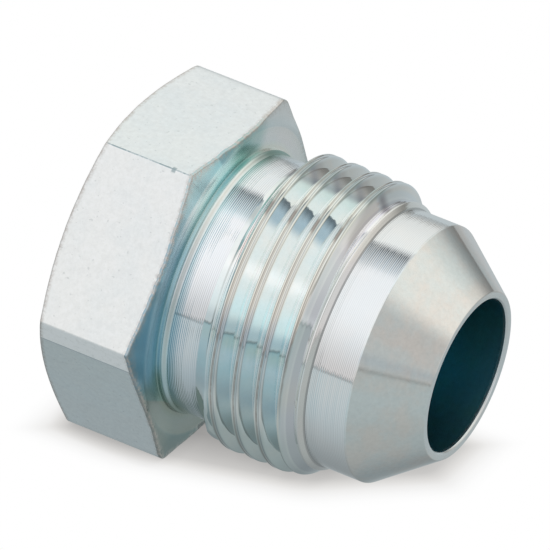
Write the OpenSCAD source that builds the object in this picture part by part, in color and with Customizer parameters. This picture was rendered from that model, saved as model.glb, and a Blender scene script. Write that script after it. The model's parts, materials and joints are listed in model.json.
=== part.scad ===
// Plug for a 37 degree flare fitting: hex head, relief neck, 3/4-16 thread, land, cone nose and blind bore.
// One turned piece. It is built up along Z from the head's outer face, and then laid on a hex flat.

/* [Head] */
// Width across the hex flats
hex_af = 20.4; // [20:0.1:23]
// Width across the hex corners, as the bar's rounded edges leave it
hex_corners = 23.3; // [22.2:0.1:23.5]
// Height of the head, from its outer face to the bearing face
head_height = 7.3; // [5:0.05:10]
// Diameter of the circle that the chamfer leaves on the head's outer face
outer_face_d = 19.2; // [17:0.1:20]
// Diameter of the washer face that the chamfer leaves under the head
washer_face_d = 20.6; // [19.5:0.1:21.5]
// Angle of both head chamfers, from the end faces
head_chamfer_angle = 20; // [15:1:30]

/* [Neck] */
// Diameter of the relief neck between the head and the thread
neck_d = 16.86; // [16:0.02:17]
// Length from the bearing face to the start of the thread
neck_length = 2.68; // [1.5:0.02:4]
// Rise of the step that meets the bearing face, above the neck
step_rise = 0.18; // [0.05:0.01:0.3]
// Length of that step along the axis
step_length = 0.5; // [0.2:0.05:1]

/* [Thread] */
// Major diameter of the thread
thread_d = 19.05; // [18.6:0.05:20]
// Pitch of the thread, a sixteenth of an inch
pitch = 1.5875; // [1:0.0125:2]
// Length of the thread along the axis, up to the ridge at its nose end
thread_length = 7.02; // [5:0.02:12]
// Width of the flat that rolling leaves on the crest
crest_width = 0.4; // [0.2:0.02:0.45]
// Width of the root between two flanks
root_width = 0.3; // [0.25:0.02:0.4]
// Angle of the chamfer that starts the thread at its nose end, from the axis
start_angle = 50; // [30:1:60]
// Diameter of the ridge between that chamfer and the land
ridge_d = 17.4; // [17.1:0.05:17.6]
// Length of the ridge along the axis, with its bevel down to the land
ridge_length = 0.5; // [0.3:0.05:1]
// Angle at which the thread rises out of the neck, from the axis
run_out_angle = 40; // [20:1:60]
// Angle about the axis at which a crest begins, from the lower hex flat
crest_angle = 256; // [0:2:360]

/* [Nose] */
// Diameter of the land between the thread and the cone
land_d = 16.7; // [16:0.05:17]
// Length of the land
land_length = 2.84; // [1:0.02:5]
// Length of the 37 degree cone along the axis
cone_length = 3.82; // [3:0.02:4]

/* [Bore] */
// Diameter of the drilled bore
bore_d = 9.93; // [8:0.01:10.2]
// Depth of the bore at its full diameter, from the nose end
bore_depth = 12.5; // [8:0.1:14]
// Width of the chamfer at the bore's mouth
bore_chamfer = 0.1; // [0.05:0.01:0.15]

/* [Hidden] */

cone_angle = 37;
// Angle of the ridge's bevel, from the axis
ridge_bevel_angle = 45;
drill_angle = 118;
// Angle of a thread flank from the plane across the axis
flank_angle = 30;
steel = [0.78, 0.83, 0.84];
round_fn = 96;
// How far a cutting solid runs past the face that it cuts
overcut = 1;
// How far the thread's tapered ends run on beneath the neck and the ridge
end_sink = 0.2;

// Heights along the axis, from the head's outer face
thread_z = head_height + neck_length;
ridge_z = thread_z + thread_length;
land_z = ridge_z + ridge_length;
cone_z = land_z + land_length;
nose_z = cone_z + cone_length;

neck_r = neck_d / 2;
thread_r = thread_d / 2;
ridge_r = ridge_d / 2;
land_r = land_d / 2;
bore_r = bore_d / 2;
nose_r = land_r - cone_length * tan(cone_angle);

root_r = thread_r - (pitch - crest_width - root_width) / 2 / tan(flank_angle);
// Corners of one pitch of the thread's outline, as [place along the axis, radius]
form = [
    [-crest_width / 2, thread_r],
    [crest_width / 2, thread_r],
    [(pitch - root_width) / 2, root_r],
    [(pitch + root_width) / 2, root_r],
];
// Rows of corners run around the thread as helices, and some lie past its two ends
spare_turns = 3;
form_rows = len(form) * (ceil(thread_length / pitch) + spare_turns);
steps = 72;
// A corner closer to an end than this is held at the end
end_snap = pitch / 50;

// Height of a row's corner above the start of the thread, after so many steps of a turn
function free_h(row, step) =
    pitch * (floor(row / len(form)) - 1 + step / steps - crest_angle / 360) + form[row % len(form)][0];
// First and last row in use at a step: those that reach the two ends of the thread
function first_row(step) = len([for (row = [0:form_rows - 1]) if (free_h(row, step) < end_snap) 1]) - 1;
function last_row(step) =
    len([for (row = [0:form_rows - 1]) if (free_h(row, step) < thread_length - end_snap) 1]);
// Radius of the chamfered blank that the thread is cut into
function blank_r(h) =
    min(neck_r + h * tan(run_out_angle), ridge_r + (thread_length - h) * tan(start_angle));

function corner_at(h, r, step) = [r * cos(360 * step / steps), r * sin(360 * step / steps), h];
function thread_corner(row, step) =
    row <= first_row(step) ? corner_at(-end_sink, blank_r(-end_sink), step)
    : row >= last_row(step) ? corner_at(thread_length + end_sink, blank_r(thread_length + end_sink), step)
    : let (h = free_h(row, step)) corner_at(h, min(form[row % len(form)][1], blank_r(h)), step);

// Number of a row's corner in the list of points: past a full turn, a row becomes the next pitch's row
firsts = [for (step = [0:steps - 1]) first_row(step)];
lasts = [for (step = [0:steps - 1]) last_row(step)];
function corner_number(row, step) =
    step == steps ? corner_number(row + len(form), 0)
    : step * form_rows + min(max(row, firsts[step]), lasts[step]);
function is_face(t) = t[0] != t[1] && t[1] != t[2] && t[2] != t[0];

module hex_head() {
    slope = tan(head_chamfer_angle);
    intersection() {
        rotate([0, 0, 30])
            cylinder(h = head_height, d = hex_af / cos(30), $fn = 6);
        rotate_extrude($fn = round_fn)
            polygon([
                [0, 0],
                [outer_face_d / 2, 0],
                [hex_corners / 2, (hex_corners - outer_face_d) / 2 * slope],
                [hex_corners / 2, head_height - (hex_corners - washer_face_d) / 2 * slope],
                [washer_face_d / 2, head_height],
                [0, head_height],
            ]);
    }
}

// Neck, ridge, land and cone nose. The neck and the ridge meet inside the thread, half way along it.
module shank() {
    inside_head_z = head_height / 2;
    inside_thread_z = thread_z + thread_length / 2;
    rotate_extrude($fn = round_fn)
        polygon([
            [0, inside_head_z],
            [neck_r + step_rise, inside_head_z],
            [neck_r + step_rise, head_height],
            [neck_r, head_height + step_length],
            [neck_r, inside_thread_z],
            [ridge_r, inside_thread_z],
            [ridge_r, land_z - (ridge_r - land_r) / tan(ridge_bevel_angle)],
            [land_r, land_z],
            [land_r, cone_z],
            [nose_r, nose_z],
            [0, nose_z],
        ]);
}

module thread() {
    quads = [for (step = [0:steps - 1], row = [0:form_rows - 2]) [
        corner_number(row, step), corner_number(row + 1, step),
        corner_number(row + 1, step + 1), corner_number(row, step + 1)
    ]];
    sides = [for (q = quads, t = [[q[0], q[1], q[2]], [q[0], q[2], q[3]]]) if (is_face(t)) t];
    start_cap = [for (step = [0:steps - 1]) corner_number(0, step)];
    end_cap = [for (step = [steps - 1:-1:0]) corner_number(form_rows - 1, step)];
    translate([0, 0, thread_z])
        polyhedron(
            points = [for (step = [0:steps - 1], row = [0:form_rows - 1]) thread_corner(row, step)],
            faces = concat(sides, [start_cap, end_cap])
        );
}

module bore() {
    mouth_r = bore_r + bore_chamfer;
    bottom_z = nose_z - bore_depth;
    translate([0, 0, bottom_z])
        cylinder(h = bore_depth + overcut, r = bore_r, $fn = round_fn);
    translate([0, 0, bottom_z - bore_r / tan(drill_angle / 2)])
        cylinder(h = bore_r / tan(drill_angle / 2), r1 = 0, r2 = bore_r, $fn = round_fn);
    translate([0, 0, nose_z - bore_chamfer])
        cylinder(h = bore_chamfer + overcut, r1 = bore_r, r2 = mouth_r + overcut, $fn = round_fn);
}

module plug() {
    color(steel)
        translate([-nose_z / 2, 0, hex_af / 2])
            rotate([0, 90, 0])
                difference() {
                    union() {
                        hex_head();
                        shank();
                        thread();
                    }
                    bore();
                }
}

plug();
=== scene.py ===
import json
import math
from functools import partialmethod

import bmesh
import bpy
import numpy as np
from mathutils import Matrix, Vector


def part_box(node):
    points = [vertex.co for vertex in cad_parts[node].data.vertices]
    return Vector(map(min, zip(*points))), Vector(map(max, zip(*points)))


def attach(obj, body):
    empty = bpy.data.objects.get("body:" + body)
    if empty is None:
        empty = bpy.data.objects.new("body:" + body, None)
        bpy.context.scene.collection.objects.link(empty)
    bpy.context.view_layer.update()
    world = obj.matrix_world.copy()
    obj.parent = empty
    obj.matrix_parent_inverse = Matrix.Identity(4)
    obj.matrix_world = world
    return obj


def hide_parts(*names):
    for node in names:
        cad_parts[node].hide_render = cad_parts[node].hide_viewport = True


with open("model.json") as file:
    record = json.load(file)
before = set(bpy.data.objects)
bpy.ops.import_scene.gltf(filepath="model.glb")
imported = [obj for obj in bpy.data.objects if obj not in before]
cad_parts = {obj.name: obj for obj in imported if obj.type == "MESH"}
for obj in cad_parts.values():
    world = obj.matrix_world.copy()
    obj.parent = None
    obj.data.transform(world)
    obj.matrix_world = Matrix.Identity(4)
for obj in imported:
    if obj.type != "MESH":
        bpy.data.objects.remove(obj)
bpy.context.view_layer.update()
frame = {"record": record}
print("frame loaded")

# Main sizes of the plug in millimetres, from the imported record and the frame's box
mounts = {mount["name"]: mount for mount in frame["record"]["mounts"]}
lowCorner, highCorner = [[1000 * value for value in corner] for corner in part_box("plug")]
axisHeight = (lowCorner[2] + highCorner[2]) / 2


def mountPlace(name):
    return 1000 * mounts[name]["pos_m"][0]


def mountSize(name, key):
    return mounts[name]["dims"][key]


scene = bpy.context.scene


def linked(name, data):
    thing = bpy.data.objects.new(name, data)
    scene.collection.objects.link(thing)
    return thing


# Sine, cosine and tangent of an angle in degrees
def sine(degrees):
    return math.sin(math.radians(degrees))


def cosine(degrees):
    return math.cos(math.radians(degrees))


def tangent(degrees):
    return math.tan(math.radians(degrees))


halfFlats = (highCorner[2] - lowCorner[2]) / 2
sharpCorner = halfFlats / cosine(30)
faceX = lowCorner[0]  # the head's outer face
bearingX = faceX + mountSize("hex", "length_mm")  # the face under the head
threadX = mountPlace("thread") - mountSize("thread", "length_mm") / 2
ridgeX = mountPlace("thread") + mountSize("thread", "length_mm") / 2
coneX = mountPlace("cone_seat")
noseX = highCorner[0]
threadRadius = mountSize("thread", "r_mm")
landRadius = mountSize("cone_seat", "r_mm")
boreRadius = mountSize("nose_bore", "r_mm")

# Sizes are in millimetres and angles in degrees; a corner's angle is its number times 60
headShape = {
    "cornerRounds": [0.5, 1.15, 0.16, 0.1, 0.9, 0.5],  # the bar's six corners wore unevenly
    "stripCorner": 3,  # this corner was struck flat along its length
    "stripAbove": 0.14,  # how far the struck strip reaches above the corner, and below it
    "stripBelow": 1.75,
    "edge": 0.07,  # rounding of the edges round the flats
    "burrs": ((4, 280, 0.75), (5, 60, 0.35)),  # seed, count round the plug and share
    "burrGrowth": [(0, 0.4), (20, 0), (68, 0), (84, 1), (165, 1), (188, 0.4), (360, 0.4)],  # by angle
    "soften": 0.12,  # rounding where a chamfer starts
    "wearReach": 0.3,  # width of the worn stretch beside those edges
    "columnSpacing": 1.25,
    "cornerSpread": 0.87,  # reach of the closer columns, as a share of a corner's rounding
    "cornerSteps": (-1.7, -1.15, -0.8, -0.5, -0.25, 0, 0.25, 0.5, 0.8, 1.15, 1.7),  # in shares of that
}

# Each end of the head is flat from its inner radius to a circle, which lies off the axis by the shift, and
# then slopes; the burr is how uneven its edge is
outerChamfer = {
    "inner": 0.02, "circle": 9.6, "slope": tangent(20), "shift": 0, "shiftAngle": 0, "burr": 0.01,
}
bearingChamfer = {
    "inner": 8.68, "circle": 10.22, "slope": tangent(20), "shift": 0.5, "shiftAngle": 320, "burr": 0.044,
    "break": 0.64,  # past this far from its start, the chamfer is flatter by a share
    "flatter": 0.53,
    "low": [(205, 0), (222, 1), (315, 1), (335, 0)],  # by angle, where the edge is barely chamfered
    "lowDrop": 0.2,  # share of the slope that is left there, where the edge also stands out
    "lowRise": 0.17,
    "lowStart": 9,  # radius at which it starts to stand out
    "lowReach": 1.1,
}

shankShape = {
    "ringRadius": 8.6,
    "ringGroove": 0.28,  # place of the fine groove round the ring, past the bearing face
    "ringGrooveDepth": 0.045,
    "ringLength": 0.56,
    "ringSplit": 10,  # rows of the ring that are finished as the face beside it
    "neckRadius": 8.43,
    "noseAngle": 37,
    "rimChamfer": 0.1,
    "rimDepth": 0.3,  # of the bore's wall that is finished as the rim
    "boreDepth": 12.5,
    "drillAngle": 118,
}

threadShape = {
    "pitch": 25.4 / 16,
    "crestStart": 0.35,  # place of a crest past the bearing face, at angle 0
    "rootRadius": 8.58,
    "rootRound": 0.035,
    "flankAngle": 30,  # from the plane across the axis
    "crestWidth": 0.42,
    "crestRound": 0.035,
    "seamPlace": -0.045,  # the two lobes that rolling leaves meet in this groove
    "seamWidth": 0.15,
    "seamDepth": 0.035,
    # The run-out has a gentle slope, by angle, and then a steep one from a place that follows the helix
    "runOutGentle": [(0, 40), (60, 10), (172, 10), (196, 14), (212, 40), (224, 55), (330, 56), (360, 40)],
    "runOutTurn": [(0, 1.04), (60, 0.24), (330, 1.43), (360, 1.04)],  # past the end of the neck
    "runOutSteep": 72,
    "startAngle": 52,
    "startRadius": 8.5,  # the thread's start comes down to this beside the ridge
}

ridgeShape = {"radius": 8.72, "top": 0.14, "bevelStart": 0.22, "length": 0.5}

meeting = {"afterRing": 0.12, "afterRidge": 0.05, "beforeCone": 0.1}  # where stretches of rows meet

neckX = bearingX + shankShape["ringLength"]
landX = ridgeX + ridgeShape["length"]
boreBottomX = noseX - shankShape["boreDepth"]
boreTipX = boreBottomX - boreRadius / tangent(shankShape["drillAngle"] / 2)


# Angle round the axis between a hex corner and a place on a flat at a distance from it
def cornerTurn(distance):
    return math.degrees(math.atan2(distance * sine(60), sharpCorner - distance / 2))


stripStart, stripEnd = -cornerTurn(headShape["stripAbove"]), cornerTurn(headShape["stripBelow"])


# Angles of the mesh's columns, closer together round the six corners of the hex
def columnAngles():
    marks = []
    perMillimetre = math.degrees(cosine(30) / halfFlats) * headShape["cornerSpread"]
    for number, rounding in enumerate(headShape["cornerRounds"]):
        if number == headShape["stripCorner"]:
            steps = [stripStart - 0.4, stripStart, stripStart + 0.15, 0]
            steps += [stripEnd - 0.2, stripEnd, stripEnd + 0.4]
        else:
            reach = rounding * tangent(30) * perMillimetre
            steps = [reach * share for share in headShape["cornerSteps"]]
        marks += [60 * number + step for step in steps]
    marks.sort()
    filled = []
    for here, following in zip(marks, marks[1:] + [marks[0] + 360]):
        count = max(1, round((following - here) / headShape["columnSpacing"]))
        filled += [here + (following - here) * step / count for step in range(count)]
    return np.array(filled)


angles = columnAngles()
turn = np.radians(angles)
columns = len(angles)
even = np.ones(columns)


# Radius of the hex bar at an angle, with each corner rounded or struck flat
def barRadius(angle):
    number = round(angle / 60)
    past = angle - 60 * number
    flat = halfFlats / cosine(30 - abs(past))
    if number % 6 == headShape["stripCorner"]:
        slant = 60  # of each flat from the corner's own direction
        above, below = headShape["stripAbove"], headShape["stripBelow"]
        first = Vector((sharpCorner - above * cosine(slant), -above * sine(slant)))
        second = Vector((sharpCorner - below * cosine(slant), below * sine(slant)))
        along = (second - first).normalized()
        ray = Vector((cosine(past), sine(past)))
        return min(flat, first.cross(along) / ray.cross(along))
    rounding = headShape["cornerRounds"][number % 6]
    centre = (halfFlats - rounding) / cosine(30)
    inside = rounding**2 - (centre * sine(past)) ** 2
    flatEnd = math.atan(tangent(30) * (halfFlats - rounding) / halfFlats)
    if math.radians(30 - abs(past)) < flatEnd or inside < 0:
        return flat
    return centre * cosine(past) + math.sqrt(inside)


hexRadius = np.array([barRadius(angle) for angle in angles])


# Uneven values round the plug, without tall ones, and the same on each run
def ragged(seed, count):
    tallest = 1.3
    values = np.clip(np.random.default_rng(seed).normal(size=count), -tallest, tallest)
    places = np.arange(count + 1) * 360 / count
    return np.interp(angles % 360, places, np.append(values, values[0]))


# A value at an angle, or at several, from stops of (angle, value)
def byAngle(stops, angle):
    return np.interp(angle % 360, *zip(*stops))


# Radius at which a chamfer starts, at each column
def chamferStart(chamfer):
    away = turn - math.radians(chamfer["shiftAngle"])
    across = chamfer["shift"] * np.sin(away)
    return chamfer["shift"] * np.cos(away) + np.sqrt(chamfer["circle"] ** 2 - across**2)


# Height that a chamfer takes off at a radius, with its start softened
def chamferDrop(radius, chamfer):
    shift, slope = chamfer["shift"], chamfer["slope"]
    across = np.hypot(
        radius * np.cos(turn) - shift * cosine(chamfer["shiftAngle"]),
        radius * np.sin(turn) - shift * sine(chamfer["shiftAngle"]),
    )
    past = across - chamfer["circle"]
    soften = headShape["soften"]
    eased = np.where(past > soften, past, (past + soften) ** 2 / (4 * soften))
    drop = np.where(past < -soften, 0, eased) * slope
    if chamfer is outerChamfer:
        return drop
    drop = drop - chamfer["flatter"] * np.maximum(0, past - chamfer["break"]) * slope
    low = byAngle(chamfer["low"], angles)
    rise = chamfer["lowRise"] * np.clip((radius - chamfer["lowStart"]) / chamfer["lowReach"], 0, 1) ** 2
    return drop * (1 - (1 - chamfer["lowDrop"]) * low) - rise * low


# Rows of one end of the head, from its middle out to the flats; side is 1 where the face looks along +X
def endRows(x, side, chamfer):
    edge = headShape["edge"]
    soften = headShape["soften"]
    grown = byAngle(headShape["burrGrowth"], angles)
    burrs = sum(share * ragged(seed, count) for seed, count, share in headShape["burrs"])
    uneven = chamfer["burr"] * burrs * grown
    start = chamferStart(chamfer)
    inner = chamfer["inner"]
    targets = [(inner * even, 0)]
    targets += [(inner + (start - 2 * soften - inner) * share, 0) for share in (0.35, 0.7, 1)]
    targets += [(start + soften * share, 0) for share in (-1, 0, 1)]
    outerEdge = hexRadius - edge
    targets += [(start + soften + (outerEdge - start - soften) * share, share) for share in (0.5, 1)]
    rows = []
    for target, share in targets:
        radius = np.minimum(target, outerEdge)
        wear = np.clip(1 - (outerEdge - radius) / headShape["wearReach"], 0, 1)
        drop = chamferDrop(radius, chamfer)
        rows.append((x - side * drop + side * share**2 * uneven, radius, wear))
    cornerX = x - side * chamferDrop(hexRadius, chamfer) + side * uneven
    lastX, lastRadius, _ = rows[-1]
    for share in (0.25, 0.5, 0.75, 1):
        near, middle, far = (1 - share) ** 2, 2 * share * (1 - share), share**2
        rowX = near * lastX + middle * cornerX + far * (cornerX - side * edge)
        rows.append((rowX, near * lastRadius + (middle + far) * hexRadius, even))
    return rows


def headRows():
    outerEnd = endRows(faceX, -1, outerChamfer)
    bearingEnd = endRows(bearingX, 1, bearingChamfer)
    startX, radius, _ = outerEnd[-1]
    endX = bearingEnd[-1][0]
    reach = headShape["wearReach"]
    flats = [(startX + 0.3 * reach, radius, 0.8 * even), (startX + 0.8 * reach, radius, 0 * even)]
    flats += [(startX + (endX - startX) * share, radius, 0 * even) for share in (0.25, 0.5, 0.75)]
    flats += [(endX - reach, radius, 0 * even), (endX - 0.4 * reach, radius, 0.9 * even)]
    return outerEnd, flats, bearingEnd[::-1]


# A row of constant x and radius, without wear
def levelRow(x, radius):
    return x * even, radius * even, 0 * even


# The rows of a profile with round corners; corners are (x, radius, rounding)
def roundedRows(corners):
    points = [np.array(corner[:2], float) for corner in corners]
    rows = [points[0]]
    for before, corner, after, given in zip(points, points[1:], points[2:], corners[1:-1]):
        back, ahead = before - corner, after - corner
        reach = min(given[2], 0.48 * np.linalg.norm(back), 0.48 * np.linalg.norm(ahead))
        if reach == 0:
            rows.append(corner)
            continue
        first = corner + back / np.linalg.norm(back) * reach
        last = corner + ahead / np.linalg.norm(ahead) * reach
        for share in np.linspace(0, 1, 4):
            rows.append((1 - share) ** 2 * first + 2 * share * (1 - share) * corner + share**2 * last)
    rows.append(points[-1])
    return [levelRow(x, radius) for x, radius in rows]


# The ring is a low step under the head, with a fine groove round it
def ringRows():
    ring, neck = shankShape["ringRadius"], shankShape["neckRadius"]
    grooveX = bearingX + shankShape["ringGroove"]
    grooveRadius = ring - shankShape["ringGrooveDepth"]
    return roundedRows([
        (bearingX, bearingChamfer["inner"], 0),
        (bearingX + 0.04, ring, 0.03),
        (grooveX - 0.05, ring - 0.01, 0.015),
        (grooveX, grooveRadius, 0.015),
        (grooveX + 0.05, ring - 0.01, 0.03),
        (neckX - 0.12, ring - 0.03, 0.06),
        (neckX, neck, 0.07),
        (neckX + meeting["afterRing"], neck, 0),
    ])[1:]


def neckRows():
    places = np.linspace(neckX + meeting["afterRing"], threadX, 5)[1:]
    return [levelRow(x, shankShape["neckRadius"]) for x in places]


def ridgeRows():
    top = ridgeShape["radius"]
    return roundedRows([
        (ridgeX, threadShape["startRadius"], 0),
        (ridgeX + 0.03, threadShape["startRadius"], 0.02),
        (ridgeX + ridgeShape["top"] - 0.03, top, 0.05),
        (ridgeX + ridgeShape["bevelStart"], top - 0.02, 0.04),
        (landX - 0.04, landRadius + 0.05, 0.02),
        (landX, landRadius - 0.02, 0.02),
        (landX + meeting["afterRidge"], landRadius, 0),
    ])[1:]


def landRows():
    places = np.linspace(landX + meeting["afterRidge"], coneX - meeting["beforeCone"], 4)[1:]
    return [levelRow(x, landRadius) for x in places]


# Rows of the cone, and those of the rim
def noseRows():
    rimRadius = landRadius - (noseX - coneX) * tangent(shankShape["noseAngle"])
    mouth = boreRadius + shankShape["rimChamfer"]
    cone = [(coneX - meeting["beforeCone"], landRadius, 0), (coneX, landRadius, 0.07)]
    cone.append((noseX, rimRadius, 0.05))
    rim = [(noseX, mouth, 0.03), (noseX - shankShape["rimChamfer"], boreRadius, 0.04)]
    rim.append((noseX - shankShape["rimDepth"], boreRadius, 0))
    return roundedRows(cone + rim[:1])[1:-1], roundedRows(cone[-1:] + rim)[1:]


def boreRows():
    share = 0.004  # the tip is closed by a tiny fan
    return roundedRows([
        (noseX - shankShape["rimDepth"], boreRadius, 0),
        (boreBottomX, boreRadius, 0.15),
        (boreTipX + (boreBottomX - boreTipX) * share, boreRadius * share, 0),
    ])[1:]


# One pitch of the thread's outline, from crest to crest, as (place from the crest's middle, radius)
def threadForm():
    crest = threadRadius
    root = threadShape["rootRadius"]
    slant = tangent(threadShape["flankAngle"])
    halfCrest = threadShape["crestWidth"] / 2
    halfPitch = threadShape["pitch"] / 2
    seam, width = threadShape["seamPlace"], threadShape["seamWidth"]
    depth = threadShape["seamDepth"]
    edge = threadShape["crestRound"]
    crestLine = [
        (-halfCrest - edge * slant, crest - edge),
        (-halfCrest, crest - 0.3 * edge),
        (-halfCrest + 0.5 * edge, crest),
        (seam - width / 2, crest - 0.1 * depth),
        (seam - width / 4, crest - 0.75 * depth),
        (seam - width / 12, crest - 0.85 * depth),
        (seam + width / 4, crest - 0.7 * depth),
        (seam + width / 2, crest - 0.05 * depth),
        (halfCrest - edge, crest),
        (halfCrest, crest - 0.3 * edge),
        (halfCrest + edge * slant, crest - edge),
    ]
    height = crest - root
    flankEnd = halfCrest + height * slant
    rounding = threadShape["rootRound"]
    down = [(halfCrest + height * slant * share, crest - height * share) for share in (0.1, 0.3, 0.5, 0.7)]
    down += [
        (flankEnd - rounding * slant, root + rounding),
        (flankEnd - 0.3 * rounding * slant, root + 0.2 * rounding),
        (flankEnd + 0.7 * rounding, root),
        (halfPitch, root),
    ]
    up = [(-place, radius) for place, radius in down[:-1]][::-1]
    return up + crestLine + down


# Radius of the blank that the thread is rolled into
def blankRadius(x, angle):
    gentle = byAngle(threadShape["runOutGentle"], angle)
    steepFrom = byAngle(threadShape["runOutTurn"], angle)
    runOut = shankShape["neckRadius"] + (x - threadX) * tangent(gentle)
    runOut += max(0, x - threadX - steepFrom) * tangent(threadShape["runOutSteep"])
    start = threadShape["startRadius"] + (ridgeX - x) * tangent(threadShape["startAngle"])
    return min(runOut, start)


# Whether the column of faces that starts at a column is on the struck strip
def onStrip(column):
    past = angles[column] % 360 + 0.05 - 60 * headShape["stripCorner"]
    return stripStart <= past < stripEnd


# The plug's mesh: rows that go round it, with the thread's rows running as helices between two of them
class PlugMesh:
    def __init__(self):
        self.points, self.wear, self.faces, self.zones = [], [], [], []

    def point(self, x, radius, column, wear=0):
        self.points.append((x, radius * math.cos(turn[column]), axisHeight + radius * math.sin(turn[column])))
        self.wear.append(wear)
        return len(self.points) - 1

    def ring(self, row):
        x, radius, wear = row
        return [self.point(x[column], radius[column], column, wear[column]) for column in range(columns)]

    def add(self, corners, zone):
        distinct = [corner for number, corner in enumerate(corners) if corner != corners[number - 1]]
        if len(distinct) > 2:
            self.faces.append(distinct)
            self.zones.append(zone)

    def join(self, before, after, zone):
        for column in range(columns):
            following = (column + 1) % columns
            here = "strip" if zone == "flats" and onStrip(column) else zone
            self.add([before[following], after[following], after[column], before[column]], here)

    def rows(self, rows, zone, last=None):
        for row in rows:
            here = self.ring(row)
            if last is not None:
                self.join(last, here, zone)
            last = here
        return last

    def fan(self, x, ring, zone, facing):
        centre = self.point(x, 0, 0)
        for column in range(columns):
            corners = [centre, ring[column], ring[(column + 1) % columns]]
            self.add(corners[::facing], zone)

    def thread(self, last):
        form = threadForm()
        pitch = threadShape["pitch"]
        spareTurns = 3
        rowCount = len(form) * (math.ceil((ridgeX - threadX) / pitch) + spareTurns)
        endRing = self.ring(levelRow(ridgeX, threadShape["startRadius"]))
        firstCrest = bearingX + threadShape["crestStart"]
        firstCrest -= pitch * math.ceil((firstCrest - threadX) / pitch + 1)
        snap = 0.01  # a place closer to an end than this is held at the end

        def corner(row, column):
            place, radius = form[row % len(form)]
            x = firstCrest + pitch * (row // len(form) + angles[column] / 360) + place
            if x < threadX + snap:
                return last[column]
            if x > ridgeX - snap:
                return endRing[column]
            return self.point(x, min(radius, blankRadius(x, angles[column])), column)

        numbers = [[corner(row, column) for row in range(rowCount)] for column in range(columns)]
        numbers.append(numbers[0][len(form):] + [endRing[0]] * len(form))
        for column in range(columns):
            here, following = numbers[column], numbers[column + 1]
            for row in range(rowCount - 1):
                self.add([here[row], following[row], following[row + 1], here[row + 1]], "thread")
        return endRing


def buildPlug(materials):
    mesh = PlugMesh()
    outerEnd, flats, bearingEnd = headRows()
    ring, split = ringRows(), shankShape["ringSplit"]
    cone, rim = noseRows()
    beforeThread = [
        (outerEnd[1:], "face"), (flats, "flats"), (bearingEnd, "washer"),
        (ring[:split], "washer"), (ring[split:], "ring"), (neckRows(), "neck"),
    ]
    afterThread = [
        (ridgeRows(), "ridge"), (landRows(), "land"), (cone, "cone"), (rim, "rim"), (boreRows(), "bore"),
    ]
    last = mesh.rows(outerEnd[:1], "face")
    mesh.fan(faceX, last, "face", -1)
    for rows, zone in beforeThread:
        last = mesh.rows(rows, zone, last)
    last = mesh.thread(last)
    for rows, zone in afterThread:
        last = mesh.rows(rows, zone, last)
    mesh.fan(boreTipX, last, "bore", 1)

    data = bpy.data.meshes.new("flarePlug")
    data.from_pydata((np.array(mesh.points) / 1000).tolist(), [], mesh.faces)
    wear = data.attributes.new("wear", "FLOAT", "POINT")
    wear.data.foreach_set("value", np.array(mesh.wear, dtype=np.float32))
    zoneNames = list(materials)
    for material in materials.values():
        data.materials.append(material)
    data.polygons.foreach_set("material_index", [zoneNames.index(zone) for zone in mesh.zones])
    sameWithin = 2e-7
    clean = bmesh.new()
    clean.from_mesh(data)
    bmesh.ops.remove_doubles(clean, verts=clean.verts, dist=sameWithin)
    bmesh.ops.recalc_face_normals(clean, faces=clean.faces)
    openEdges = sum(1 for edge in clean.edges if len(edge.link_faces) != 2)
    clean.to_mesh(data)
    clean.free()
    data.shade_smooth()
    plug = linked("flarePlug", data)
    weighted = plug.modifiers.new("evenShading", "WEIGHTED_NORMAL")
    weighted.weight = 100
    weighted.keep_sharp = False
    print("plug built:", len(data.polygons), "faces,", columns, "columns,", openEdges, "open edges")
    return plug


# A socket in shader maths: expressions on values add Math nodes, and add() makes any other node
class Wire:
    def __init__(self, tree, socket=None):
        self.tree = tree
        self.socket = socket

    def add(self, kind, settings=None, values=None, output=0):
        node = self.tree.nodes.new("ShaderNode" + kind)
        for name, value in (settings or {}).items():
            setattr(node, name, value)
        for key, value in (values or {}).items():
            if isinstance(value, Wire):
                self.tree.links.new(value.socket, node.inputs[key])
            else:
                node.inputs[key].default_value = value
        return Wire(self.tree, node.outputs[output]) if len(node.outputs) else node

    def maths(self, operation, *values):
        return self.add("Math", {"operation": operation}, dict(enumerate(values)))

    def before(self, operation, other):
        return self.maths(operation, self, other)

    def after(self, operation, other):
        return self.maths(operation, other, self)

    __add__ = partialmethod(before, "ADD")
    __radd__ = partialmethod(after, "ADD")
    __sub__ = partialmethod(before, "SUBTRACT")
    __rsub__ = partialmethod(after, "SUBTRACT")
    __mul__ = partialmethod(before, "MULTIPLY")
    __rmul__ = partialmethod(after, "MULTIPLY")
    __pow__ = partialmethod(before, "POWER")
    __neg__ = partialmethod(before, "MULTIPLY", -1)

    def rise(self, start, end, kind="LINEAR"):
        values = {"Value": self, "From Min": start, "From Max": end}
        return self.add("MapRange", {"interpolation_type": kind}, values)

    def fade(self, start, end):
        return self.rise(start, end, "SMOOTHSTEP")

    def between(self, start, end, edge):
        return self.fade(start - edge, start + edge) * (1 - self.fade(end - edge, end + edge))

    # The wire goes from 0 to 1, and the result from one value to another
    def span(self, low, high):
        return low + (high - low) * self

    # A colour is a wire, or red, green and blue
    def blend(self, first, second):
        first, second = [tint if isinstance(tint, Wire) else (*tint, 1) for tint in (first, second)]
        return self.add("Mix", {"data_type": "RGBA"}, {0: self, 6: first, 7: second}, 2)

    def split(self):
        parts = self.add("SeparateXYZ", {}, {0: self})
        return [Wire(self.tree, output) for output in parts.socket.node.outputs]


# A first wire in the emptied node tree of a material or world
def emptyTree(owner):
    owner.use_nodes = True
    owner.node_tree.nodes.clear()
    return Wire(owner.node_tree)


# A colour as bright as a wire says
def lit(tint, level):
    return level.add("VectorMath", {"operation": "SCALE"}, {0: tint, "Scale": level})


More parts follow.
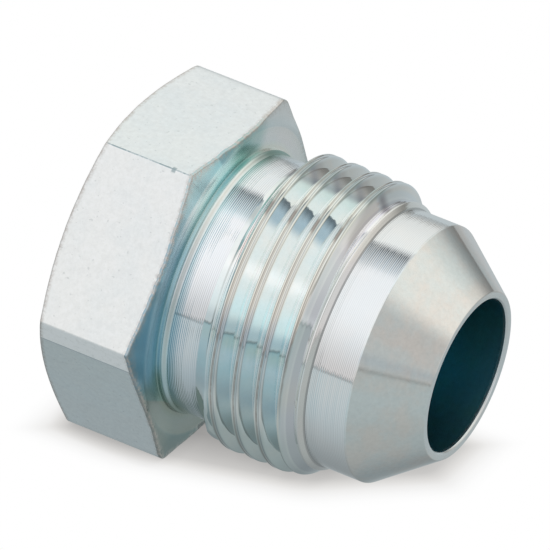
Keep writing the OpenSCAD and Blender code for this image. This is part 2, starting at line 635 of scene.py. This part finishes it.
# Noises on the plug, as scale per millimetre, detail and roughness
noises = {
    "clouds": (0.35, 5, 0.65), "grain": (7, 4, 0.65), "mottle": (3, 5, 0.75), "specks": (4.2, 1, 0.5),
    "wear": (4, 4, 0.7), "stain": (2.2, 3, 0.55), "wander": (0.8, 3, 0.55), "cornerLine": (1.6, 3, 0.6),
}


def noise(place, name):
    scale, detail, roughness = noises[name]
    values = {"Vector": place["point"], "Scale": scale, "Detail": detail, "Roughness": roughness}
    return place["point"].add("TexNoise", {}, values)


def noiseAlong(along, scale, detail):
    return along.add("TexNoise", {"noise_dimensions": "1D"}, {"W": along, "Scale": scale, "Detail": detail})


# Angle of a direction in degrees, from the least angle up to a turn past it
def angleFrom(least, y, z):
    angle = y.maths("ARCTAN2", z, y) * (180 / math.pi)
    return angle + 360 * y.maths("LESS_THAN", angle, least)


# Places on the plug as wires, in millimetres, with the axis at height 0, and the angle round the axis
def plugPlace(start):
    position = start.add("TexCoord", output="Object")
    scaled = position.add("VectorMath", {"operation": "SCALE"}, {0: position, "Scale": 1000.0})
    x, y, height = scaled.split()
    z = height - axisHeight
    radius = (y * y + z * z) ** 0.5
    return {"point": scaled, "x": x, "y": y, "z": z, "radius": radius, "angle": angleFrom(0, y, z)}


# A tint that changes along a value, through stops of (value, red, green, blue)
def tintAlong(value, stops):
    shade = stops[0][1:]
    for (before, *_), (after, *tint) in zip(stops, stops[1:]):
        shade = value.fade(before, after).blend(shade, tint)
    return shade


# A value that changes evenly between stops of (place, value)
def valueAlong(place, stops):
    total = stops[0][1]
    for (before, low), (after, high) in zip(stops, stops[1:]):
        total = total + place.rise(before, after) * (high - low)
    return total


def toned(colour, shade):
    return colour.add("VectorMath", {"operation": "MULTIPLY"}, {0: colour, 1: shade})


# Each zone's zinc, as its tint, a second one in clouds, its roughness, its fine grain and its mottling, and
# where it has lines from turning, the direction across them, their spacing and their depth
finishes = {
    "face": ((0.84, 0.88, 0.89), (0.88, 0.88, 0.86), 0.32, 0.8, 0.2, "radius", 0.14, 1.2),
    "flats": ((0.98, 0.985, 0.98), (0.955, 0.975, 0.98), 0.38, 2.2, 0.3),
    "strip": ((1, 1, 0.995), (0.96, 0.97, 0.97), 0.46, 5, 0.5),
    "washer": ((0.87, 0.88, 0.88), (0.84, 0.88, 0.88), 0.2, 0.3, 0.12, "radius", 0.12, 0.8),
    "ring": ((0.97, 0.975, 0.95), (0.95, 0.97, 0.95), 0.3, 0.8, 0.1, "x", 0.07, 0.8),
    "neck": ((0.935, 0.955, 0.975), (0.95, 0.955, 0.96), 0.03, 0.25, 0.03, "x", 0.122, 3.2),
    "thread": ((0.864, 0.92, 0.915), (0.9, 0.915, 0.89), 0.045, 0.35, 0.1, "x", 0.2, 0.35),
    "ridge": ((0.88, 0.89, 0.87), (0.9, 0.88, 0.86), 0.13, 0.4, 0.1, "x", 0.11, 0.6),
    "land": ((0.905, 0.93, 0.94), (0.92, 0.925, 0.925), 0.03, 0.25, 0.03, "x", 0.119, 3.2),
    "cone": ((0.84, 0.895, 0.9), (0.91, 0.87, 0.835), 0.09, 0.6, 0.25, "x", 0.06, 0.4),
    "rim": ((0.83, 0.88, 0.9), (0.86, 0.87, 0.87), 0.25, 0.6, 0.1),
    # The bore's dark teal is partly the passivate's tone and partly painted shade inside the bore
    "bore": ((0.22, 0.55, 0.65), (0.2, 0.55, 0.58), 0.3, 1, 0.3, "x", 0.25, 0.5),
}

# Tints are stops by angle round the axis, unless a note says otherwise. Besides the passivate's tone, most of
# them hold painted shade, highlight and reflection, by how each side of the plug faces the light.
# Passivate tone with painted shade on the thread by angle, darkest near 84 degrees, and a painted glint near
# 138
threadToneAndShade = [
    (40, 0.95, 0.9, 0.89), (72, 0.9, 0.86, 0.85), (78, 0.74, 0.7, 0.7), (84, 0.55, 0.55, 0.59),
    (90, 0.93, 0.97, 0.97), (100, 1, 1, 1.01), (132, 1, 1, 1), (138, 1.11, 1.08, 1.08), (144, 1, 1, 1),
    (156, 1, 1.08, 1.1), (162, 0.82, 0.91, 0.95), (168, 0.9, 0.94, 0.93), (174, 0.9, 0.96, 1),
    (181, 0.84, 0.93, 0.97), (192, 0.79, 0.87, 0.92), (200, 0.93, 0.98, 1), (212, 0.76, 0.82, 0.83),
]
# Passivate tone with painted shade on the crests by angle, darkest near 84 to 91 degrees
crestToneAndShade = [
    (74, 0.76, 0.78, 0.79), (84, 0.44, 0.51, 0.51), (91, 0.42, 0.47, 0.47), (97, 0.74, 0.77, 0.74),
    (104, 0.77, 0.78, 0.73), (150, 0.75, 0.72, 0.665), (156, 0.66, 0.67, 0.67), (162, 0.54, 0.6, 0.64),
    (172, 0.68, 0.72, 0.73), (182, 0.62, 0.65, 0.65), (192, 0.84, 0.85, 0.83), (206, 0.57, 0.64, 0.63),
]
# Painted highlights and painted shade, as fine lines across the crest
crestHighlightsAndShade = [  # fine lines along the crest, by the distance from its middle
    (-0.27, 0.58, 0.52, 0.49), (-0.22, 1.08, 1.08, 1.06), (-0.15, 1.16, 1.16, 1.13),
    (-0.09, 0.7, 0.67, 0.66), (-0.02, 0.96, 0.95, 0.92), (0.05, 1.18, 1.19, 1.19), (0.12, 0.74, 0.75, 0.76),
    (0.19, 1.14, 1.16, 1.17),
]
# The crest's seam is pale, and darker brown in patches; a streak beside it, at some angles, is painted shade
# in the same brown
crestLook = {
    "start": 9.3, "end": threadRadius - 0.03, "wander": 0.03, "patches": (0.35, 0.65),
    "seam": (0.66, 0.61, 0.55), "seamShare": 0.35, "seamSides": (-0.42, 0.38), "seamEdge": 0.035,
    "stain": (0.36, 0.31, 0.28), "stainShare": 0.8, "stained": (158, 196), "stainedEdge": 6, "inSeam": 0.6,
    "streak": (-0.24, -0.02), "streakEdge": 0.03, "streakAngles": (110, 116.5), "streakEnds": 1.5,
}
# The chamfer that starts the thread, before the ridge
firstFlank = {"start": 0.75, "full": 0.6}
# Passivate tone with painted shade on that chamfer by angle, darkest near 84 degrees
firstFlankToneAndShade = [
    (78, 0.77, 0.8, 0.82), (84, 0.44, 0.43, 0.455), (90, 0.97, 0.975, 1), (114, 1, 1, 1),
    (120, 0.86, 0.89, 0.88), (126, 0.83, 0.89, 0.87), (145, 0.69, 0.74, 0.75), (150, 0.8, 0.865, 0.87),
    (168, 0.815, 0.865, 0.885), (180, 0.87, 0.885, 0.87), (192, 0.83, 0.87, 0.905),
    (210, 0.71, 0.775, 0.785),
]
firstFlankStreaks = [  # along the axis, from where the ridge starts
    (-0.71, 0.98, 1, 1), (-0.54, 1, 1, 1), (-0.45, 1.08, 1.07, 1.06), (-0.38, 0.93, 0.915, 0.94),
    (-0.1, 0.94, 0.92, 0.95), (-0.04, 1.04, 1.03, 0.99),
]
# Part of the run-out, past the neck's end, looks greyer
runOutGrey = {"tint": (1.12, 0.92, 0.9), "past": (0.58, 0.98), "edge": 0.05, "angles": (90, 134), "ends": 6}


# How far along the axis a place is from a crest's middle, in millimetres
def fromCrest(place):
    pitch = threadShape["pitch"]
    crestX = bearingX + threadShape["crestStart"]
    turns = (place["x"] - crestX) * (1 / pitch) - place["angle"] * (1 / 360)
    return (turns.maths("FRACT", turns + 40.5) - 0.5) * pitch  # 40 whole turns keep it above 0


def threadColour(place, plated):
    angle, x, look = place["angle"], place["x"], crestLook
    away = fromCrest(place)
    onCrest = place["radius"].fade(look["start"], look["end"])
    seam, width = threadShape["seamPlace"], threadShape["seamWidth"]
    seamStart, seamEnd = [seam + side * width for side in look["seamSides"]]
    inSeam = away.between(seamStart, seamEnd, look["seamEdge"]) * onCrest
    patches = noise(place, "stain").fade(*look["patches"])
    wander = away + look["wander"] * (noise(place, "wander") - 0.5)
    crestColour = toned(tintAlong(angle, crestToneAndShade), tintAlong(wander, crestHighlightsAndShade))
    tinted = onCrest.blend(toned(plated, tintAlong(angle, threadToneAndShade)), crestColour)
    grey = x.between(*[threadX + past for past in runOutGrey["past"]], runOutGrey["edge"])
    grey = grey * angle.between(*runOutGrey["angles"], runOutGrey["ends"])
    tinted = grey.blend(tinted, toned(tinted, runOutGrey["tint"]))
    beforeRidge = x.fade(ridgeX - firstFlank["start"], ridgeX - firstFlank["full"])
    streaked = toned(tintAlong(angle, firstFlankToneAndShade), tintAlong(x - ridgeX, firstFlankStreaks))
    tinted = (beforeRidge * (1 - onCrest)).blend(tinted, streaked)
    tinted = (inSeam * look["seamShare"] * (0.5 + patches * 0.5)).blend(tinted, look["seam"])
    # Painted shade along the crest's head side, and the seam's brown patches, darken it in the same brown
    streak = away.between(*look["streak"], look["streakEdge"]) * onCrest
    streak = streak * angle.between(*look["streakAngles"], look["streakEnds"])
    streak = streak + inSeam * angle.between(*look["stained"], look["stainedEdge"]) * patches * look["inSeam"]
    return (streak * look["stainShare"]).blend(tinted, look["stain"])


# Wear shows the metal in broken patches, and more evenly on an edge itself
wearLook = {"tint": (0.64, 0.6, 0.565), "patches": (0.38, 0.62), "least": 0.06, "more": 0.68,
            "edge": (0.8, 1), "onEdge": 0.3, "patchedLess": 0.1}


def worn(place, plated):
    wear = plated.add("Attribute", {"attribute_name": "wear"}, output=2)
    patches = noise(place, "wear").fade(*wearLook["patches"])
    onEdge = wear.fade(*wearLook["edge"]) * (wearLook["onEdge"] - patches * wearLook["patchedLess"])
    share = wear * (wearLook["least"] + patches * wearLook["more"]) + onEdge
    return share.blend(plated, wearLook["tint"])


# Passivate tone with painted light and shade that differ from flat to flat, by the side each faces
flatToneAndShade = [
    (58, 0.92, 0.94, 0.955), (119.7, 0.925, 0.955, 0.965), (120.3, 0.995, 0.99, 0.98),
    (179, 0.995, 0.99, 0.975), (186, 0.93, 0.99, 1), (240, 0.93, 0.98, 1),
]
# A fine dark line runs along the corner between two flats, with a small dent on it that is shown as painted
# shade
cornerLine = {"angle": 120, "half": 0.22, "tint": (0.36, 0.45, 0.47), "broken": (0.36, 0.56), "least": 0.25}
dentShade = {"beforeBearing": 1.75, "reach": 0.13, "edge": 0.05, "half": 0.9, "angleEdge": 0.3, "share": 0.8}


def flatColour(place, plated):
    angle, corner, half = place["angle"], cornerLine["angle"], cornerLine["half"]
    onLine = angle.between(corner - half, corner + half, 0.5 * half)
    broken = noise(place, "cornerLine").fade(*cornerLine["broken"])
    tinted = (onLine * broken.span(cornerLine["least"], 1)).blend(plated, cornerLine["tint"])
    # The dent is painted shade, not a change in shape
    dentX, reach, half = bearingX - dentShade["beforeBearing"], dentShade["reach"], dentShade["half"]
    dent = place["x"].between(dentX - reach, dentX + reach, dentShade["edge"])
    dent = dent * angle.between(corner - half, corner + half, dentShade["angleEdge"])
    return worn(place, (dent * dentShade["share"]).blend(tinted, cornerLine["tint"]))


# Passivate tone with painted shade and reflection on the washer face by angle
washerToneAndShade = [
    (0, 0.9, 1, 0.98), (50, 1.09, 1.07, 1.06), (70, 1.08, 1.08, 1.08), (80, 0.7, 0.88, 0.86),
    (92, 0.45, 0.76, 0.73), (104, 0.74, 1.03, 1.07), (124, 0.92, 1.08, 1.1), (146, 0.5, 0.71, 0.82),
    (190, 0.44, 0.7, 0.85), (203, 0.32, 0.49, 0.48), (222, 0.31, 0.47, 0.44), (236, 0.38, 0.44, 0.41),
]
washerBands = [  # by radius
    (8.72, 0.98, 0.98, 0.92), (8.92, 1, 1.02, 1), (9.15, 1.03, 1.03, 1.05), (9.5, 1.04, 1.03, 1.04),
    (9.9, 1, 1, 1), (10.05, 0.86, 0.92, 0.95), (11, 0.92, 0.93, 0.94),
]
# The washer face's chamfer on the near side, its part beside the ring, and its part below a line, each
# darkened by painted shade
washerOuter = {"tint": (0.76, 0.86, 0.89), "radius": (9.95, 10.15), "angles": (94, 102)}
washerInner = {"tint": (0.6, 0.68, 0.72), "radius": (8.8, 9.1), "angles": (84, 134), "edge": 16}
washerLow = {"tint": (0.41, 0.47, 0.43), "place": (-9.32, -4.06), "slope": -0.524, "rise": (-0.1, 0.1),
             "angles": (196, 236), "edge": 6}


def washerColour(place, plated):
    radius, angle = place["radius"], place["angle"]
    tinted = toned(plated, tintAlong(angle, washerToneAndShade))
    outer = radius.fade(*washerOuter["radius"]) * angle.fade(*washerOuter["angles"])
    tinted = outer.blend(tinted, toned(tinted, washerOuter["tint"]))
    inner = 1 - radius.fade(*washerInner["radius"])
    inner = inner * angle.between(*washerInner["angles"], washerInner["edge"])
    tinted = inner.blend(tinted, toned(tinted, washerInner["tint"]))
    sideways, upwards = washerLow["place"]
    aboveLine = place["z"] - upwards - (place["y"] - sideways) * washerLow["slope"]
    below = angle.between(*washerLow["angles"], washerLow["edge"]) * (1 - aboveLine.fade(*washerLow["rise"]))
    tinted = below.blend(tinted, toned(plated, washerLow["tint"]))
    return worn(place, toned(tinted, tintAlong(radius, washerBands)))


# The struck strip's shading leans this far up, and a darker line runs along its lower side
stripLook = {"lean": 19, "line": (0.55, 0.6, 0.62), "lineRise": (0.06, 0.16)}


def stripColour(place, plated):
    bottom = -headShape["stripBelow"] * sine(60)
    line = 1 - place["z"].fade(*[bottom + rise for rise in stripLook["lineRise"]])
    return worn(place, line.blend(plated, stripLook["line"]))


# The ridge has a fine dark line of painted shade at each side, in the creases where it meets the thread and
# the land
ridgeCreaseShade = {"tint": (0.4, 0.41, 0.42), "share": 0.7, "near": (0.03, 0.08), "far": (0.09, 0.04)}


def ridgeColour(place, plated):
    before = 1 - place["x"].fade(*[ridgeX + near for near in ridgeCreaseShade["near"]])
    after = place["x"].fade(*[landX - far for far in ridgeCreaseShade["far"]])
    return ((before + after) * ridgeCreaseShade["share"]).blend(plated, ridgeCreaseShade["tint"])


# Passivate tone with painted shade on the neck by angle, darker between 107 and 116 degrees
neckToneAndShade = [
    (60, 0.9, 0.93, 0.95), (104, 0.94, 0.96, 0.97), (107, 0.88, 0.95, 0.96), (116, 0.88, 0.95, 0.96),
    (121, 1, 1, 1), (180, 1, 1, 1), (196, 0.9, 0.97, 1),
]
# Teal passivate and painted shade on the neck beside the ring, in the corner
footToneAndShade = [  # of the neck beside the ring
    (60, 0.2, 0.42, 0.37), (80, 0.27, 0.47, 0.42), (97, 0.66, 0.8, 0.8), (150, 0.6, 0.76, 0.8),
    (188, 0.5, 0.69, 0.76), (208, 0.52, 0.76, 0.86), (226, 0.38, 0.5, 0.42),
]
footStart = 0.1  # past the ring
footEnd = [(60, 1.2), (84, 1.05), (100, 0.5), (140, 0.5), (160, 0.9), (230, 1.1)]  # past it too, by angle


def neckColour(place, plated):
    foot = 1 - place["x"].fade(neckX + footStart, neckX + valueAlong(place["angle"], footEnd))
    banded = toned(plated, tintAlong(place["angle"], neckToneAndShade))
    return foot.blend(banded, toned(plated, tintAlong(place["angle"], footToneAndShade)))


# Passivate tone with painted shade on the ring by angle, darkest near 60 and 226 degrees
ringToneAndShade = [
    (60, 0.3, 0.46, 0.42), (72, 0.34, 0.5, 0.46), (80, 0.52, 0.62, 0.6), (90, 0.84, 0.9, 0.88),
    (100, 0.97, 1, 1), (128, 0.95, 0.98, 0.98), (150, 0.78, 0.82, 0.86), (168, 0.7, 0.78, 0.81),
    (187, 0.76, 0.9, 0.94), (205, 0.64, 0.83, 0.9), (226, 0.4, 0.5, 0.45),
]
# Painted light on the land from 150 degrees on
landPaintedLight = [(150, 1, 1, 1), (168, 1.1, 1.06, 1.04), (190, 1.08, 1.08, 1.08)]
# Passivate tone with painted shade on the cone by angle
coneToneAndShade = [
    (56, 0.95, 0.86, 0.84), (66, 0.77, 0.73, 0.71), (72, 0.86, 0.89, 0.91), (78, 0.84, 0.87, 0.89),
    (90, 0.88, 0.91, 0.92), (102, 1, 1, 1), (150, 1, 1, 1), (155, 0.87, 0.91, 0.95), (160, 0.99, 1, 1),
]

zoneColours = {
    "thread": threadColour, "flats": flatColour, "strip": stripColour, "washer": washerColour,
    "face": worn, "ridge": ridgeColour, "neck": neckColour,
}
toneAndLightByAngle = {"flats": flatToneAndShade, "ring": ringToneAndShade, "land": landPaintedLight, "cone": coneToneAndShade}

# What the zones share: the clouds' spread, how they dull the gloss, and how the turned lines vary
plating = {"clouds": (0.38, 0.66), "dull": (0.82, 0.36), "drift": 0.12, "driftNoise": (1.3, 2),
           "depth": (0.55, 0.9), "depthNoise": (4, 1)}
# How dark the painted shade in the lines of the neck and the land is, by angle
lineShades = [
    (92, 0.07), (103, 0.15), (106, 0.8), (111, 0.55), (118, 0.08), (135, 0.05), (147, 0.15), (163, 0.22),
    (168, 0.1),
]
specks = {"tint": (0.55, 0.58, 0.58), "noise": (0.7, 0.76), "share": 0.35}
boreEdge = (0.2, 0.5, 0.58)  # what the bore's wall reflects at a low angle


def zincPlate(name):
    tint, cloudTint, roughness, grain, mottle, *lines = finishes[name]
    material = bpy.data.materials.new(name + "Zinc")
    start = emptyTree(material)
    place = plugPlace(start)
    clouds = noise(place, "clouds")
    plated = clouds.fade(*plating["clouds"]).blend(tint, cloudTint)
    height = noise(place, "grain") * grain
    plated = lit(plated, 1 + mottle * (noise(place, "mottle") - 0.5))
    if name == "flats":
        dots = noise(place, "specks").fade(*specks["noise"])
        plated = (dots * specks["share"]).blend(plated, specks["tint"])
    glossiest, duller = plating["dull"]
    roughness = roughness * (glossiest + duller * clouds)
    if lines:
        across, spacing, lineDepth = lines
        along = place[across]
        drifted = along + noiseAlong(along, *plating["driftNoise"]) * plating["drift"]
        wave = start.maths("SINE", drifted * (2 * math.pi / spacing))
        shallow, deeper = plating["depth"]
        depth = shallow + deeper * noiseAlong(along, *plating["depthNoise"])
        height = height + wave * depth * lineDepth
        if name in ("neck", "land"):
            # The turned lines also get painted shade in the base colour, besides their bump
            plated = lit(plated, 1 - valueAlong(place["angle"], lineShades) * (0.5 + 0.5 * wave))
    if name == "strip":
        height = height - place["z"] * (1000 * tangent(stripLook["lean"]))
    # Passivate tone with painted light and shade by angle
    if name in toneAndLightByAngle:
        plated = toned(plated, tintAlong(place["angle"], toneAndLightByAngle[name]))
    colour = zoneColours[name](place, plated) if name in zoneColours else plated
    bump = start.add("Bump", {}, {"Strength": 1, "Distance": 1e-6, "Height": height})
    edgeTint = boreEdge if name == "bore" else (1, 1, 1)
    shader = start.add("BsdfPrincipled", {}, {
        "Base Color": colour, "Metallic": 1, "Roughness": roughness, "Normal": bump,
        "Specular Tint": (*edgeTint, 1),
    })
    start.add("OutputMaterial", {}, {"Surface": shader})
    return material


# Studio light by direction. Angles go round the plug's axis from 0 behind to 180 in front, overhead or, for
# the table, below. The other pairs are places on the sphere of directions, whose sides are at -1 and 1.
studio = {
    "rear": {"tint": (0.985, 1, 0.975), "low": 0.78, "high": 0.94, "rise": (8, 56),
             "foot": 0.22, "footRight": 0.55, "footTurn": (-0.3, 0), "footShade": 0.66},
    "gap": {"tint": (0.96, 0.99, 1), "level": 0.7, "start": 61.3, "edge": 0.4, "rise": (62, 94)},
    "panel": {"tint": (0.8, 0.985, 1.13), "dark": 0.17, "level": 0.58, "rise": (60, 74), "end": (79.5, 91.5),
              "earlier": 1.3, "side": (-0.43, -0.39)},
    "panelLeft": {"tint": (0.56, 0.6, 0.6), "side": (-0.59, -0.55), "rise": (78, 92)},
    "front": {"tint": (0.985, 1, 1.015), "high": 0.955, "low": 0.64, "fall": (138, 190)},
    "frontRight": {"tint": (0.99, 1, 0.98), "level": 0.515, "turn": (-0.3, 0.05)},
    "farRight": {"tint": (1, 0.99, 1), "level": 0.7, "start": (0.82, 0.92)},
    "backRight": {"tint": (1, 0.985, 0.93), "low": 0.43, "rise": 0.42, "height": (0, 0.65),
                  "footShade": 0.5, "foot": (0, 0.4), "footSide": (0.3, 0.6)},
    "right": {"start": (0, 0.5)},
    "table": {"tint": (0.905, 1, 1.03), "under": 0.285, "front": 0.315, "frontRise": (60, 170),
              "behind": 0.29, "behindFall": (18, 60)},
    "tableLeft": {"tint": (0.74, 0.86, 0.9), "from": (90, 140), "side": (-0.6, -0.5)},
    "rightTable": {"tint": (0.93, 1, 1), "under": 0.41, "far": 0.07, "depth": (0.3, 1)},
    "left": {"tint": (0.98, 1, 1), "level": 0.72, "under": 0.42, "height": (-0.05, 0.15),
             "side": (-0.76, -0.67)},
    "horizon": {"height": -0.114, "turn": 0.1, "side": (-0.35, 0.8), "front": (-0.3, 0), "edge": 0.006,
                "line": 0.017, "lineEdge": 0.01, "lineShade": 0.42},
}


def evenLight(look):
    return [look["level"] * part for part in look["tint"]]


def skyLight(x, y, z, around):
    rear, gap, front = studio["rear"], studio["gap"], studio["front"]
    panel, panelLeft = studio["panel"], studio["panelLeft"]
    footTop = x.fade(*rear["footTurn"]).span(rear["foot"], rear["footRight"])
    foot = 1 - rear["footShade"] * (1 - z.fade(0, footTop))
    rearLevel = around.fade(*rear["rise"]).span(rear["low"], rear["high"]) * foot
    frontLight = lit(front["tint"], around.fade(*front["fall"]).span(front["high"], front["low"]))
    opening = around.fade(*gap["rise"]).blend(evenLight(gap), frontLight)
    panelLight = lit(panel["tint"], around.fade(*panel["rise"]).span(panel["dark"], panel["level"]))
    besidePanel = x.fade(*panel["side"])
    opening = besidePanel.blend(around.fade(*panel["end"]).blend(panelLight, frontLight), opening)
    leftOpening = around.fade(*panelLeft["rise"]).blend(panelLeft["tint"], frontLight)
    opening = x.fade(*panelLeft["side"]).blend(leftOpening, opening)
    gapStart = gap["start"] - panel["earlier"] * (1 - besidePanel)
    inGap = around.fade(gapStart - gap["edge"], gapStart + gap["edge"])
    middle = inGap.blend(lit(rear["tint"], rearLevel), opening)
    back, frontRight, farRight = studio["backRight"], studio["frontRight"], studio["farRight"]
    backFoot = 1 - back["footShade"] * (1 - z.fade(*back["foot"])) * (1 - x.fade(*back["footSide"]))
    backLight = lit(back["tint"], (back["low"] + back["rise"] * z.fade(*back["height"])) * backFoot)
    right = y.fade(*frontRight["turn"]).blend(evenLight(frontRight), backLight)
    right = x.fade(*farRight["start"]).blend(right, evenLight(farRight))
    return x.fade(*studio["right"]["start"]).blend(middle, right)


def tableLight(x, y, z):
    table, left, right = studio["table"], studio["tableLeft"], studio["rightTable"]
    below = x.maths("ARCTAN2", -z, y) * (180 / math.pi)
    level = table["under"] + table["front"] * below.fade(*table["frontRise"])
    level = level + table["behind"] * (1 - below.fade(*table["behindFall"]))
    leftShade = (below.fade(*left["from"]) * (1 - x.fade(*left["side"]))).blend((1, 1, 1), left["tint"])
    middle = toned(lit(table["tint"], level), leftShade)
    rightLevel = right["under"] + right["far"] * (1 - (-z).fade(*right["depth"]))
    return x.fade(*studio["right"]["start"]).blend(middle, lit(right["tint"], rightLevel))


def buildWorld():
    world = bpy.data.worlds.new("studioLight")
    scene.world = world
    start = emptyTree(world)
    x, y, z = start.add("TexCoord", output="Generated").split()
    around = angleFrom(-90, y, z)
    horizon, left = studio["horizon"], studio["left"]
    inFront = 1 - y.fade(*horizon["front"])
    above = z - (horizon["height"] + horizon["turn"] * x.fade(*horizon["side"])) * inFront
    both = above.fade(-horizon["edge"], horizon["edge"]).blend(tableLight(x, y, z), skyLight(x, y, z, around))
    leftLevel = z.fade(*left["height"]).span(left["under"], left["level"])
    both = (1 - x.fade(*left["side"])).blend(both, lit(left["tint"], leftLevel))
    line = above.between(-horizon["line"], horizon["line"], horizon["lineEdge"]) * inFront
    shaded = (line * horizon["lineShade"]).blend(both, (0, 0, 0))
    shown = start.add("LightPath", output="Is Camera Ray").blend(shaded, (1, 1, 1))
    background = start.add("Background", {}, {"Color": shown, "Strength": 1})
    start.add("OutputWorld", {}, {"Surface": background})
    print("studio light ready")


# The floor is white. The plug's soft shade on it has straight sides, each given as a place and the way out
# of the shade in millimetres, and tones by the distance outside them; nearness darkens it a little more.
floorLook = {
    "size": 3,  # in metres
    "tint": (1, 0.985, 0.965),
    "sides": [
        ((0, -6), (0, -1)), ((-7.53, -6), (0.33, -0.944)), ((3.07, -2.3), (0.704, -0.71)),
        ((9.07, 0), (1, 0)), ((0, 7.5), (0, 1)), ((-10.98, 0), (-1, 0)),
    ],
    "round": 0.8,  # of the corners between them
    "tones": [
        (-3, 0.352), (-1, 0.497), (0, 0.584), (0.67, 0.73), (1.33, 0.863), (2, 0.939), (2.6, 0.983), (3.2, 1),
    ],
    "whiter": (0.7, 1),  # tones over which the tint gives way to white
    "reach": 1.6, "closed": 0.1, "open": 0.85, "contact": 0.8,
}


# Distance outside the shade's sides
def outsideShade(start):
    x, y, _ = start.add("TexCoord", output="Object").split()
    outside = None
    for (sideX, sideY), (outX, outY) in floorLook["sides"]:
        away = (x * 1000 - sideX) * outX + (y * 1000 - sideY) * outY
        outside = start.maths("SMOOTH_MAX", outside, away, floorLook["round"]) if outside else away
    return outside


def buildFloor():
    half = floorLook["size"] / 2
    data = bpy.data.meshes.new("studioFloor")
    corners = [(-half, -half, 0), (half, -half, 0), (half, half, 0), (-half, half, 0)]
    data.from_pydata(corners, [], [(0, 1, 2, 3)])
    floor = linked("studioFloor", data)
    material = bpy.data.materials.new("paleFloor")
    start = emptyTree(material)
    openness = start.add("AmbientOcclusion", {"samples": 32}, {"Distance": floorLook["reach"] / 1000}, 1)
    clear = openness.rise(floorLook["closed"], floorLook["open"])
    shade = valueAlong(outsideShade(start), floorLook["tones"])
    level = shade * clear.span(floorLook["contact"], 1)
    colour = shade.fade(*floorLook["whiter"]).blend(lit(floorLook["tint"], level), lit((1, 1, 1), level))
    glow = start.add("Emission", {}, {"Color": colour, "Strength": 1})
    start.add("OutputMaterial", {}, {"Surface": glow})
    data.materials.append(material)
    floor.visible_glossy = False  # the metal reflects the table that the studio light gives
    floor.visible_shadow = floor.visible_diffuse = False
    print("floor ready")


cameraPose = {
    "azimuth": 24.496, "elevation": 31.987, "roll": 8.118, "distance": 831.9,
    "focal": 13641, "frameWidth": 550,  # in pixels
    "lookAt": 3.42, "raise": 1.491,  # along the axis, past the bearing face, and upwards in the picture
}


def buildCamera():
    azimuth, elevation, roll = [cameraPose[name] for name in ("azimuth", "elevation", "roll")]
    out = cosine(elevation)
    back = Vector((sine(azimuth) * out, -cosine(azimuth) * out, sine(elevation)))
    level = Vector((cosine(azimuth), sine(azimuth), 0))
    upright = back.cross(level)
    right = cosine(roll) * level + sine(roll) * upright
    up = cosine(roll) * upright - sine(roll) * level
    target = Vector((bearingX + cameraPose["lookAt"], 0, axisHeight)) + up * cameraPose["raise"]
    eye = (target + back * cameraPose["distance"]) / 1000
    data = bpy.data.cameras.new("photoCamera")
    data.sensor_width = 36
    data.lens = cameraPose["focal"] * data.sensor_width / cameraPose["frameWidth"]
    data.clip_start, data.clip_end = 0.05, 10
    camera = linked("photoCamera", data)
    turned = Matrix((right, up, back)).transposed()
    camera.matrix_world = Matrix.Translation(eye) @ turned.to_4x4()
    scene.camera = camera
    print("camera ready")


buildCamera()
buildWorld()
buildFloor()
materials = {name: zincPlate(name) for name in finishes}
print("finishes ready")
plug = buildPlug(materials)
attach(plug, "root")
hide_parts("plug")

scene.view_settings.view_transform = "Standard"
scene.cycles.use_denoising = True
